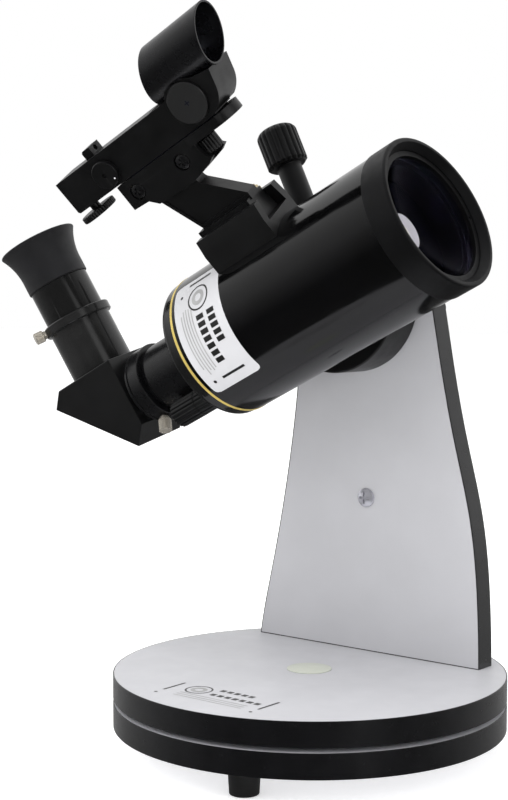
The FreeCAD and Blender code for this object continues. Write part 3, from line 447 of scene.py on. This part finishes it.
def turned(node, way, fillet=0.3, segments=160, angle=7.3, ribs=None, material=None):
    """Stands for a round node: each of its solids turned again from its own outline.

    The outline is the cut at angle, in degrees. fillet is in mm. ribs is (count, depth, low, high), the last
    three in mm, with low and high from the piece's own low end.
    """
    joined = bmesh.new()
    for solid in islands(node):
        vertices = [v.co.copy() for v in solid.verts]
        place = axis_frame(vertices, way)
        pairs = cut_edges(solid, place, math.radians(angle))
        solid.free()
        points, closed = chain(pairs)
        points = straight(true_radius(points, vertices, place), closed)
        points = rounded(points, closed, fillet * MM)
        if ribs:
            points = subdivided(points, closed, longest=2.0 * MM)
            lowest = min(along for along, _ in points)
            count, depth, low, high = ribs
            ribs_here = (count, depth * MM, lowest + low * MM, lowest + high * MM)
        else:
            ribs_here = None
        part = spun(points, closed, place, segments, ribs_here)
        mesh = to_mesh(part, node)
        joined.from_mesh(mesh)
        bpy.data.meshes.remove(mesh)
    slot = slot_of[node]
    return finish_piece(f"{node}_turned", to_mesh(joined, node), material or MATERIALS[slot],
                        nodes[node]["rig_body"], (node,))


def softened(node, width, segments=3, material=None):
    """Stands for a prismatic node: a copy with merged faces and edges rounded over a width in mm."""
    work = bmesh.new()
    work.from_mesh(nodes[node].data)
    bmesh.ops.remove_doubles(work, verts=work.verts, dist=SAME_PLACE)
    bmesh.ops.dissolve_limit(work, angle_limit=math.radians(0.5), verts=work.verts, edges=work.edges)
    corners = [e for e in work.edges if len(e.link_faces) == 2 and e.calc_face_angle(0) > CORNER]
    bmesh.ops.bevel(work, geom=corners, offset=width * MM, offset_type="OFFSET", segments=segments,
                    profile=0.5, affect="EDGES", clamp_overlap=True, miter_outer="ARC")
    bmesh.ops.triangulate(work, faces=[f for f in work.faces if len(f.verts) > 4])
    slot = slot_of[node]
    return finish_piece(f"{node}_soft", to_mesh(work, node), material or MATERIALS[slot],
                        nodes[node]["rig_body"], (node,))


# ---------------------------------------------------------------- base and arm
for band in ("ground_edge_band", "turntable_edge_band"):
    turned(band, UP, 0.25, 256)
turned("pivot_cap", UP, 0.2, 96)
softened("arm_edge_band", 0.2, 2)
softened("feet", 0.4)

# ---------------------------------------------------------------- altitude hub and knobs
softened("altitude_hub", 0.5)
turned("tension_knob", LEVEL, 1.2, 240, 18, (10, 2.6, 8.0, 30.0))
turned("clamp_knob", ways["clamp_knob_turn"], 0.4, 200, 9, (20, 0.8, 63.0, 90.0))
turned("focus_knob", TUBE_WAY, 0.3, 180, 10, (18, 0.55, 0.0, 29.0))

# ---------------------------------------------------------------- tube
turned("main_tube", TUBE_WAY, 0.1, 256)
turned("front_ring", TUBE_WAY, 0.25, 256, material=RING_BLACK)
turned("corrector_lens", TUBE_WAY, 0.1, 160)
softened("retaining_ring", 0.1, 2, RING_BLACK)
turned("trim_ring", TUBE_WAY, 0.12, 256)
turned("rear_cell", TUBE_WAY, 0.5, 256, material=GLOSSY_BLACK)
turned("visual_back", TUBE_WAY, 0.3)
turned("visual_back_ring", TUBE_WAY, 0.3, angle=40)
turned("visual_back_screw", ways["visual_back_screw_turn"], 0.25, 160, 9, (26, 0.3, 7.4, 30.0))

# ---------------------------------------------------------------- diagonal and eyepiece
softened("diagonal_housing", 0.6)
turned("diagonal_nose", TUBE_WAY, 0.25)
turned("eyepiece_holder", EYE_WAY, 0.3, angle=40, material=HOLDER_BLACK)
turned("holder_screw", ways["holder_screw_turn"], 0.25, 160, 9, (24, 0.28, 5.2, 30.0))
turned("eyepiece_barrel", EYE_WAY, 0.2)
turned("eyepiece_body", EYE_WAY, 0.4, material=GLOSSY_BLACK)
turned("field_lens", EYE_WAY, 0.1)
turned("eye_lens", EYE_WAY, 0.1)
turned("eyecup", EYE_WAY, 0.4, 200)

# ---------------------------------------------------------------- finder
softened("finder_shoe", 0.5)
turned("shoe_screw", ways["shoe_screw_turn"], 0.3, 160, 9, (24, 0.45, 4.0, 30.0))
softened("finder_bracket", 0.5)
turned("finder_azimuth_knob", FINDER_UP, 0.3, 160, 11, (18, 0.45, 0.0, 8.5))
softened("finder_body", 0.5)
turned("dimmer_dial", FINDER_SIDE, 0.35, 96)
turned("finder_wheel", FINDER_UP, 0.3, 240, 6, (36, 0.35, 0.0, 4.0))
softened("finder_yoke", 0.25)
turned("pivot_discs", FINDER_SIDE, 0.35, 128)
softened("hood_tube", 0.2)


# ---------------------------------------------------------------- labels and marks
# All in mm but the shares. The lifts keep print clear of the face under it.
RING_LINE = 0.9
INNER_RING = (0.6, 0.3)  # its two radii as shares of the ring's
DASH_SPAN = (0.16, 0.84)  # the share of its step that a dash fills
FINE_HALF = 0.35
BAR_HALF = 0.7
DOT_R = 0.9
FILM_LIFT = 0.08
INK_LIFT = 0.14
BASE_LIFT = 0.06
MARK_LIFT = 0.05


def patch(name, corners, to_row, material, body, nu=8, nv=2):
    """A thin printed patch: a grid over a four-sided region, laid through to_row(u, v)."""
    (u0, v0), (u1, v1) = corners
    work = bmesh.new()
    grid = [[work.verts.new(to_row(u0 + (u1 - u0) * i / nu, v0 + (v1 - v0) * j / nv))
             for j in range(nv + 1)] for i in range(nu + 1)]
    for i in range(nu):
        for j in range(nv):
            work.faces.new((grid[i][j], grid[i + 1][j], grid[i + 1][j + 1], grid[i][j + 1]))
    return finish_piece(name, to_mesh(work, name), material, body)


def disc_patch(name, centre, outer, inner, to_row, material, body, count=48):
    """A thin printed ring or dot, laid through to_row(u, v)."""
    work = bmesh.new()
    rings = []
    for radius in (outer, inner) if inner else (outer, outer * 0.5):
        rings.append([work.verts.new(to_row(centre[0] + radius * math.cos(2 * math.pi * i / count),
                                            centre[1] + radius * math.sin(2 * math.pi * i / count)))
                      for i in range(count)])
    for i in range(count):
        j = (i + 1) % count
        work.faces.new((rings[0][i], rings[0][j], rings[1][j], rings[1][i]))
    if not inner:
        work.faces.new(rings[1])
    return finish_piece(name, to_mesh(work, name), material, body)


def printed_label(prefix, to_row, body, width, ring_centre, ring_r, rows, fine_rows, bars, dots):
    """Generic marks in place of a printed notice, in mm: two rings, word-like dashes, fine lines, bars, dots.

    width is half a dash's height. Each of rows is (v, u0, u1, count), of fine_rows (v, u0, u1) and of bars
    (u, v0, v1).
    """
    def mark_ring(name, outer, inner, ink):
        disc_patch(f"{prefix}_{name}", ring_centre, outer, inner, to_row, ink, body)

    mark_ring("ring", ring_r, ring_r - RING_LINE, LABEL_INK)
    mark_ring("inner_ring", ring_r * INNER_RING[0], ring_r * INNER_RING[1], LABEL_GREY)
    for k, (v, u0, u1, count) in enumerate(rows):
        step = (u1 - u0) / count
        for i in range(count):
            corners = ((u0 + step * (i + DASH_SPAN[0]), v - width),
                       (u0 + step * (i + DASH_SPAN[1]), v + width))
            patch(f"{prefix}_dash_{k}_{i}", corners, to_row, LABEL_INK, body, 3)
    for k, (v, u0, u1) in enumerate(fine_rows):
        corners = ((u0, v - FINE_HALF), (u1, v + FINE_HALF))
        patch(f"{prefix}_fine_{k}", corners, to_row, LABEL_GREY, body, 16)
    for k, (u, v0, v1) in enumerate(bars):
        corners = ((u - BAR_HALF, v0), (u + BAR_HALF, v1))
        patch(f"{prefix}_bar_{k}", corners, to_row, LABEL_INK, body, 2, 4)
    for k, centre in enumerate(dots):
        disc_patch(f"{prefix}_dot_{k}", centre, DOT_R, 0, to_row, LABEL_INK, body, 20)


def tube_frame():
    """The tube's axis frame and radius, from its CAD node."""
    vertices = [v.co for v in nodes["main_tube"].data.vertices]
    place = axis_frame(vertices, TUBE_WAY)
    back = place.inverted()
    return place, max(math.hypot((back @ v).y, (back @ v).z) for v in vertices)


def tube_label():
    """White label round the rear of the tube, on the side away from the arm."""
    place, radius = tube_frame()
    rear = min((place.inverted() @ v.co).x for v in nodes["main_tube"].data.vertices)
    start, width, length, corner = rear + 2.2 * MM, 32.5, 65.1, 3.0
    first = math.radians(-44.0)
    level = place.to_3x3().inverted() @ LEVEL
    top = place.to_3x3().inverted() @ TUBE_WAY.cross(LEVEL)

    def laid(lift):
        def to_row(u, v):
            turn = first - u * MM / radius
            out = level * math.sin(turn) + top * math.cos(turn)
            return place @ (Vector((start + v * MM, 0, 0)) + out * (radius + lift * MM))
        return to_row

    work = bmesh.new()
    columns = []
    film = laid(FILM_LIFT)
    count, rows = 96, 6
    for i in range(count + 1):
        u = length * i / count
        into_corner = max(0.0, corner - min(u, length - u))
        inset = corner - math.sqrt(max(0.0, corner ** 2 - into_corner ** 2))
        columns.append([work.verts.new(film(u, inset + (width - 2 * inset) * j / rows))
                        for j in range(rows + 1)])
    for a, b in zip(columns, columns[1:]):
        for j in range(rows):
            work.faces.new((a[j], b[j], b[j + 1], a[j + 1]))
    finish_piece("tube_label", to_mesh(work, "tube_label"), LABEL_WHITE, "telescope")
    printed_label("tube_mark", laid(INK_LIFT), "telescope",
                  width=2.5, ring_centre=(14.5, 17.5), ring_r=7.2,
                  rows=((24.4, 23.5, 42.5, 5), (16.9, 23.5, 51.5, 7)),
                  fine_rows=((11.8, 19.0, 52.0), (10.0, 18.0, 53.0), (8.2, 17.5, 52.0), (6.4, 18.0, 54.0),
                             (4.6, 20.0, 50.0)),
                  bars=((3.6, 10.5, 26.0), (58.5, 10.5, 26.0)), dots=((9.0, 5.5), (58.5, 5.0)))


def base_label():
    """Marks printed on clear film near the turntable's rim."""
    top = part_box("turntable_board")[1].z

    def to_row(u, v):
        return Vector((u * MM, v * MM, top + BASE_LIFT * MM))

    printed_label("base_mark", to_row, "turntable",
                  width=1.6, ring_centre=(-15.3, -68.0), ring_r=7.0,
                  rows=((-62.6, -6.5, 15.5, 5), (-70.8, -6.0, 25.5, 7)),
                  fine_rows=((-76.4, -20.0, 22.0), (-79.0, -20.0, 22.0), (-81.6, -20.0, 22.0)),
                  bars=((-29.5, -78.0, -62.0), (29.5, -78.0, -62.0)), dots=((-29.5, -83.4), (29.5, -83.4)))


def secondary_spot():
    """Silvered spot in the middle of the corrector's rear face, seen through the glass; its faint warm glow
    is a painted highlight.
    """
    place = axis_frame([v.co for v in nodes["corrector_lens"].data.vertices], TUBE_WAY)
    rear = min((place.inverted() @ v.co).x for v in nodes["corrector_lens"].data.vertices)
    outer, gap, curve = 10.0 * MM, 0.12 * MM, 50.0 * MM

    def to_row(u, v):
        flat = math.hypot(u, v)
        return place @ Vector((rear - gap + flat ** 2 / (2 * curve), u, v))

    disc_patch("secondary_spot", (0, 0), outer, 0, to_row, SPOT_SILVER_PAINTED_GLOW, "telescope", 64)


def dial_marks():
    """White dot on the brightness dial's rim, and a faint one on the finder body beside it."""
    along = FINDER_UP.cross(FINDER_SIDE).normalized()
    low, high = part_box("dimmer_dial")
    centre = (low + high) / 2
    for node, body, radius, ink, (u, v) in (("dimmer_dial", "dimmer_dial", 0.5, LABEL_WHITE, (4.1, -4.0)),
                                            ("finder_body", "finder_body", 0.4, LABEL_GREY, (-8.5, 0.8))):
        face = max((vertex.co - centre).dot(FINDER_SIDE) for vertex in nodes[node].data.vertices)

        def to_row(a, b):
            return centre + along * a + FINDER_UP * b + FINDER_SIDE * (face + MARK_LIFT * MM)

        disc_patch(f"{node}_dot", (u * MM, v * MM), radius * MM, 0, to_row, ink, body, 20)


def cross_mark():
    """Small dark cross in the middle of the near pivot disc."""
    long, thin = 1.5, 0.28
    vertices = [v.co for v in nodes["pivot_discs"].data.vertices]
    face = max(v.dot(FINDER_SIDE) for v in vertices)
    rim = [v for v in vertices if face - v.dot(FINDER_SIDE) < 0.1 * MM]
    centre = sum(rim, Vector()) / len(rim)
    along = FINDER_UP.cross(FINDER_SIDE).normalized()

    def to_row(u, v):
        return centre + (along * u + FINDER_UP * v + FINDER_SIDE * MARK_LIFT) * MM

    for k, (u, v) in enumerate(((long, thin), (thin, long))):
        patch(f"disc_cross_{k}", ((-u, -v), (u, v)), to_row, MATT_BLACK, "finder_hood", 2)


def seam_shade_bars():
    """Two slim dark bars in the seam between the bracket and the finder body, as painted shade that keeps the
    seam dark.
    """
    along = FINDER_UP.cross(FINDER_SIDE).normalized()
    vertices = [v.co for v in nodes["finder_bracket"].data.vertices]
    top = max(v.dot(FINDER_UP) for v in vertices)
    deck = [v for v in vertices if top - v.dot(FINDER_UP) < 0.1 * MM]
    ends = [pick(v.dot(along) for v in deck) for pick in (min, max)]
    middle = sum(pick(v.dot(FINDER_SIDE) for v in deck) for pick in (min, max)) / 2
    # The bars are painted shade: dark matt blocks that hide the light showing through the seam.
    inset, offset, thick, tall, lift = 9.0 * MM, 7.8 * MM, 0.8 * MM, 0.44 * MM, 0.01 * MM
    turn = Matrix((along, FINDER_SIDE, FINDER_UP)).transposed().to_4x4()
    for k, way in enumerate((-1, 1)):
        work = bmesh.new()
        bmesh.ops.create_cube(work, size=1.0)
        length = ends[1] - ends[0] - 2 * inset
        centre = Vector(((ends[0] + ends[1]) / 2, middle + way * offset, top + lift + tall / 2))
        work.transform(turn @ Matrix.Translation(centre) @ Matrix.Diagonal((length, thick, tall, 1)))
        finish_piece(f"seam_shade_bar_{k}", to_mesh(work, f"seam_shade_bar_{k}"), MATT_BLACK, "finder_mount")


def tube_lining():
    """Matt paint inside the tube, which keeps stray light down."""
    gap, rear_inset, front_inset = 0.15 * MM, 1 * MM, 10 * MM
    place, _ = tube_frame()
    vertices = [place.inverted() @ v.co for v in nodes["main_tube"].data.vertices]
    inner = min(math.hypot(v.y, v.z) for v in vertices) - gap
    low, high = min(v.x for v in vertices) + rear_inset, max(v.x for v in vertices) - front_inset
    work = bmesh.new()
    count = 128
    ends = [[work.verts.new(place @ Vector((x, inner * math.cos(2 * math.pi * i / count),
                                            inner * math.sin(2 * math.pi * i / count))))
             for i in range(count)] for x in (low, high)]
    for i in range(count):
        j = (i + 1) % count
        work.faces.new((ends[0][i], ends[0][j], ends[1][j], ends[1][i]))
    finish_piece("tube_lining", to_mesh(work, "tube_lining"), MATT_BLACK, "telescope")


def arm_foot_shadow_line():
    """Painted shadow: a dark hairline where the arm stands on the upper board."""
    stand_off, lift, height = 0.06 * MM, 0.05 * MM, 0.45 * MM
    low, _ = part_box("arm_board")
    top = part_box("turntable_board")[1].z

    def to_row(u, v):
        return Vector((u, low.y - stand_off, top + lift + v))

    foot = [v.co.x for v in nodes["arm_board"].data.vertices if v.co.z < top + 1 * MM]
    patch("arm_foot_shadow_line", ((min(foot), 0.0), (max(foot), height)), to_row, FOOT_SHADOW_DARK, "turntable",
          12)


tube_label()
tube_lining()
base_label()
arm_foot_shadow_line()
secondary_spot()
dial_marks()
cross_mark()
seam_shade_bars()

for node, piece in nodes.items():
    finish = MATERIALS[slot_of[node]]
    piece.data.materials.clear()
    piece.data.materials.append(finish)


# ---------------------------------------------------------------- camera, floor and light
WINDOW_WAY = Vector((0.9, -0.35, 0.15)).normalized()  # where the one small bright patch stands


def camera():
    """The view: from the side away from the arm, ahead of the tube and a little above."""
    data = bpy.data.cameras.new("view")
    data.lens = 72.047
    data.sensor_width = 36.0
    data.sensor_fit = "AUTO"
    data.clip_end = 50.0
    eye = bpy.data.objects.new("view", data)
    right = Vector((0.77487, 0.63212, 0.0)).normalized()
    forward = Vector((-0.63052, 0.77291, -0.07109)).normalized()
    up = right.cross(forward)
    turn = Matrix((right, up, -forward)).transposed()
    eye.matrix_world = Matrix.Translation(Vector((487.82, -642.69, 236.57)) * MM) @ turn.to_4x4()
    bpy.context.scene.collection.objects.link(eye)
    bpy.context.scene.camera = eye
    return forward


def floor():
    """Plain pale floor under the feet."""
    work = bmesh.new()
    bmesh.ops.create_grid(work, x_segments=4, y_segments=4, size=6.0)
    plane = bpy.data.objects.new("floor", to_mesh(work, "floor"))
    bpy.context.scene.collection.objects.link(plane)
    plane.location.z = -0.0002
    plane.visible_glossy = False
    plane.data.materials.append(surface("floor", grey(0.9), grey(0.92), (0.7, 0.8), mottle=3, bump=0.0,
                                        Emission_Color=(1, 1, 1, 1), Emission_Strength=0.45))


def world_light(forward):
    """White seen directly, and even light on surfaces.

    Reflections see a backdrop that is pale behind the object and dark in front of it and below, a dim patch
    overhead, and one small bright window.
    """
    world = bpy.data.worlds.new("studio")
    bpy.context.scene.world = world
    world.use_nodes = True
    tree = world.node_tree
    tree.nodes.clear()
    link = tree.links.new
    direction = tree.nodes.new("ShaderNodeTexCoord").outputs["Generated"]
    along = tree.nodes.new("ShaderNodeVectorMath")
    along.operation = "DOT_PRODUCT"
    along.inputs[1].default_value = forward
    link(direction, along.inputs[0])
    backdrop = spread(tree, along.outputs["Value"], 0.07, 0.85, from_low=-0.6, from_high=0.3)
    split = tree.nodes.new("ShaderNodeSeparateXYZ")
    link(direction, split.inputs[0])
    above = spread(tree, split.outputs["Z"], 0.0, 0.3, from_low=0.7, from_high=0.82)
    below = spread(tree, split.outputs["Z"], 0.1, 1.0, from_low=-0.45, from_high=0.05)
    level = tree.nodes.new("ShaderNodeMath")
    level.operation = "MULTIPLY"
    link(backdrop, level.inputs[0])
    link(below, level.inputs[1])
    lit = tree.nodes.new("ShaderNodeMath")
    lit.operation = "MAXIMUM"
    link(level.outputs[0], lit.inputs[0])
    link(above, lit.inputs[1])
    window = tree.nodes.new("ShaderNodeVectorMath")
    window.operation = "DOT_PRODUCT"
    window.inputs[1].default_value = WINDOW_WAY
    link(direction, window.inputs[0])
    shine = tree.nodes.new("ShaderNodeMath")
    shine.operation = "MAXIMUM"
    link(lit.outputs[0], shine.inputs[0])
    link(spread(tree, window.outputs["Value"], 0.0, 1.0, from_low=0.93, from_high=0.95), shine.inputs[1])
    rays = tree.nodes.new("ShaderNodeLightPath")
    strengths = []
    for ray, value in (("Is Diffuse Ray", 0.72), ("Is Camera Ray", 1.0)):
        pick = tree.nodes.new("ShaderNodeMix")
        pick.data_type = "FLOAT"
        pick.inputs["B"].default_value = value
        link(rays.outputs[ray], pick.inputs["Factor"])
        link(strengths[-1] if strengths else shine.outputs[0], pick.inputs["A"])
        strengths.append(pick.outputs["Result"])
    glow = tree.nodes.new("ShaderNodeBackground")
    glow.inputs["Color"].default_value = (1, 1, 1, 1)
    link(strengths[-1], glow.inputs["Strength"])
    output = tree.nodes.new("ShaderNodeOutputWorld")
    link(glow.outputs[0], output.inputs["Surface"])


def softbox(name, place, aim, size, power):
    """A square area light at a place, turned to a point."""
    data = bpy.data.lights.new(name, "AREA")
    data.shape = "SQUARE"
    data.size = size
    data.energy = power
    lamp = bpy.data.objects.new(name, data)
    lamp.location = place
    lamp.rotation_euler = (Vector(aim) - Vector(place)).to_track_quat("-Z", "Y").to_euler()
    lamp.visible_glossy = False
    bpy.context.scene.collection.objects.link(lamp)


forward = camera()
floor()
world_light(forward)
middle = (cad_box[0] + cad_box[1]) / 2
softbox("key", (-0.3, -1.5, 1.3), middle, 0.9, 12.0)
softbox("fill", (1.5, -0.2, 0.9), middle, 0.8, 6.0)
softbox("overhead", (0.1, -0.4, 1.7), middle, 1.2, 20.0)
bpy.context.scene.view_settings.view_transform = "Standard"
